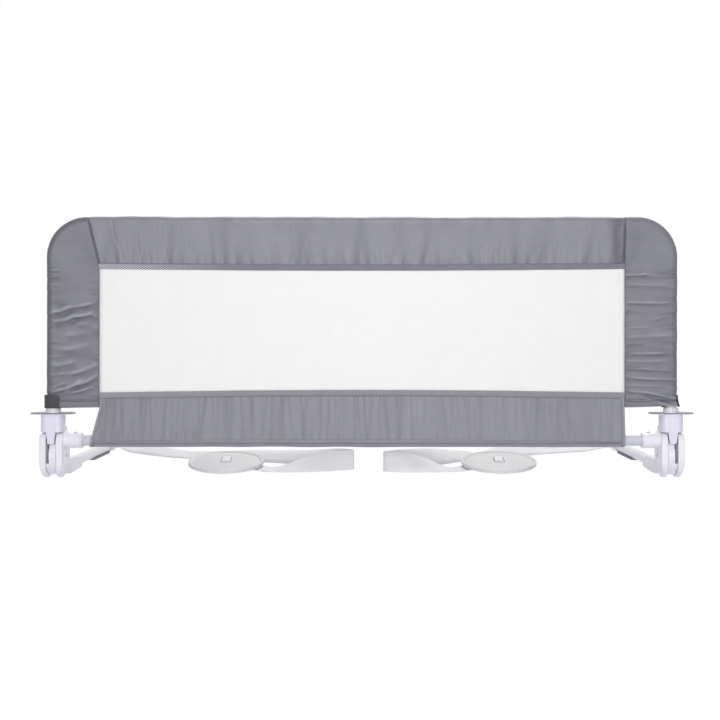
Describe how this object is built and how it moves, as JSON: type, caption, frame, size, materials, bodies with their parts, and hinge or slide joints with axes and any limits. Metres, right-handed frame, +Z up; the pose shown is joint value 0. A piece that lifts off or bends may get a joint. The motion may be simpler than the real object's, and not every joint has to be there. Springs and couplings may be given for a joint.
{
  "type": "bed guard rail",
  "caption": "Fabric-covered folding bed guard rail with a mesh window, hinged end brackets with lock collars, under-mattress legs and anchor straps.",
  "frame": {"origin": "on the ground, in the middle of the whole part's box; the uprights stand at Y = -0.2325 m", "axes": "+X along the rail, -Y towards the room, +Y under the mattress, +Z up"},
  "size_m": [1.156, 0.511, 0.455],
  "materials": {
    "cover_cloth": "plain woven, matt",
    "binding_cloth": "woven tape, matt",
    "net_cloth": "fine white net",
    "tab_cloth": "dark tape, stitched",
    "white_plastic": "moulded, satin",
    "grey_plastic": "moulded, satin",
    "painted_steel": "white powder coat",
    "bright_steel": "plain steel",
    "black_steel": "black oxide, satin",
    "dark_rubber": "ribbed, matt",
    "webbing": "white woven webbing"
  },
  "bodies": {
    "left_leg": {"left_leg_hinge_body": "white_plastic", "left_leg_tube": "painted_steel", "left_leg_end_cap": "white_plastic", "left_grip_strip": "dark_rubber", "left_strap_loop": "webbing", "left_strap": "webbing", "left_anchor_disc": "grey_plastic", "left_strap_bight": "webbing"},
    "rail_panel": {"left_bracket_outer_shell": "white_plastic", "left_bracket_inner_shell": "white_plastic", "left_pivot_pin": "black_steel", "left_hinge_spacer": "grey_plastic", "left_bracket_screw_1": "bright_steel", "left_bracket_screw_2": "bright_steel", "left_collar_stop_ring": "grey_plastic", "left_return_spring": "bright_steel", "left_closure_tab": "tab_cloth", "left_corner_tube": "painted_steel", "left_cross_tube": "painted_steel", "left_top_button": "bright_steel", "right_bracket_outer_shell": "white_plastic", "right_bracket_inner_shell": "white_plastic", "right_pivot_pin": "black_steel", "right_hinge_spacer": "grey_plastic", "right_bracket_screw_1": "bright_steel", "right_bracket_screw_2": "bright_steel", "right_collar_stop_ring": "grey_plastic", "right_return_spring": "bright_steel", "right_closure_tab": "tab_cloth", "right_corner_tube": "painted_steel", "right_cross_tube": "painted_steel", "right_top_button": "bright_steel", "top_middle_tube": "painted_steel", "cross_tube_button": "bright_steel", "cover_left_panel": "cover_cloth", "cover_right_panel": "cover_cloth", "cover_top_panel": "cover_cloth", "cover_bottom_panel": "cover_cloth", "window_top_binding": "binding_cloth", "window_bottom_binding": "binding_cloth", "mesh_window": "net_cloth"},
    "right_leg": {"right_leg_hinge_body": "white_plastic", "right_leg_tube": "painted_steel", "right_leg_end_cap": "white_plastic", "right_grip_strip": "dark_rubber", "right_strap_loop": "webbing", "right_strap": "webbing", "right_anchor_disc": "grey_plastic", "right_strap_bight": "webbing"},
    "left_collar": {"left_lock_collar": "white_plastic"},
    "right_collar": {"right_lock_collar": "white_plastic"},
    "left_button": {"left_socket_button": "bright_steel"},
    "right_button": {"right_socket_button": "bright_steel"}
  },
  "joints": [
    {"name": "rail_fold", "type": "hinge", "parent": "left_leg", "child": "rail_panel", "pos_m": [0, -0.218, 0.038], "axis": [1, 0, 0], "range_deg": [0, 180]},
    {"name": "right_leg_hinge", "type": "hinge", "parent": "rail_panel", "child": "right_leg", "pos_m": [0, -0.218, 0.038], "axis": [1, 0, 0], "range_deg": [-180, 0]},
    {"name": "left_collar_lift", "type": "slide", "parent": "rail_panel", "child": "left_collar", "axis": [0, 0, 1], "range_m": [0, 0.008], "stiffness_N_per_m": 600, "springref_m": -0.005, "deforming": ["left_return_spring"]},
    {"name": "right_collar_lift", "type": "slide", "parent": "rail_panel", "child": "right_collar", "axis": [0, 0, 1], "range_m": [0, 0.008], "stiffness_N_per_m": 600, "springref_m": -0.005, "deforming": ["right_return_spring"]},
    {"name": "left_button_press", "type": "slide", "parent": "rail_panel", "child": "left_button", "axis": [0, 0, -1], "range_m": [0, 0.003], "stiffness_N_per_m": 1500, "springref_m": -0.001},
    {"name": "right_button_press", "type": "slide", "parent": "rail_panel", "child": "right_button", "axis": [0, 0, -1], "range_m": [0, 0.003], "stiffness_N_per_m": 1500, "springref_m": -0.001}
  ],
  "couplings": [
    {"joint": "right_leg_hinge", "follows": "rail_fold", "ratio": -1}
  ]
}
